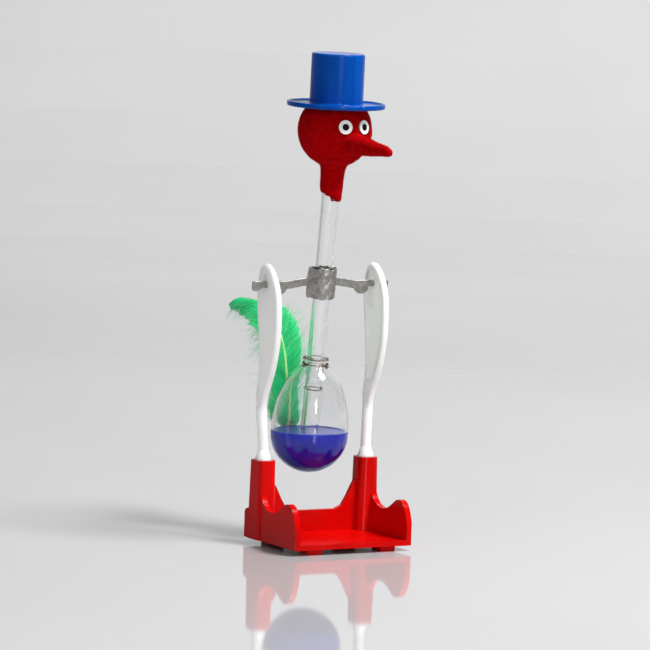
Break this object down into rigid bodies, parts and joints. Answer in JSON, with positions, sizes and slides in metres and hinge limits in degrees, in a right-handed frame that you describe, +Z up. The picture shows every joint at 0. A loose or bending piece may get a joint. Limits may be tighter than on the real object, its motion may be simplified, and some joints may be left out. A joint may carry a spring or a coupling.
{
  "type": "drinking bird desk toy",
  "caption": "Glass drinking bird with a felt head, top hat and feather tail, pivoting on a folded tin strip between moulded legs that stand on a red tray base.",
  "frame": {"origin": "bottom centre of the whole toy's box, on the surface that the four moulded feet stand on", "axes": "+Z up; the bird faces -Y and its feather trails to +Y; the tin crossbar runs along X, +X is the bird's left"},
  "size_m": [0.0558, 0.1028, 0.1767],
  "materials": {
    "red_plastic": "gloss",
    "white_plastic": "satin",
    "tinplate": "dull",
    "clear_glass": "clear",
    "blue_liquid": "clear",
    "red_felt": "felt",
    "blue_plastic": "gloss",
    "clear_glue": "satin",
    "eye_white": "gloss",
    "pupil_black": "gloss",
    "feather_quill": "satin",
    "green_feather": "soft"
  },
  "bodies": {
    "stand": {"base_tray": "red_plastic", "left_leg": "white_plastic", "right_leg": "white_plastic"},
    "bird": {"pivot_strip": "tinplate", "body_bulb": "clear_glass", "stem_tube": "clear_glass", "head_bulb": "clear_glass", "liquid_pool": "blue_liquid", "liquid_column": "blue_liquid", "felt_head": "red_felt", "hat": "blue_plastic", "hat_glue": "clear_glue", "eye_white_left": "eye_white", "eye_white_right": "eye_white", "pupil_left": "pupil_black", "pupil_right": "pupil_black", "feather_quill": "feather_quill", "feather_vane": "green_feather", "feather_glue": "clear_glue"}
  },
  "joints": [
    {"name": "bird_swing", "type": "hinge", "parent": "stand", "child": "bird", "pos_m": [0, -0.00892, 0.09275], "axis": [1, 0, 0], "range_deg": [-30, 70]}
  ]
}
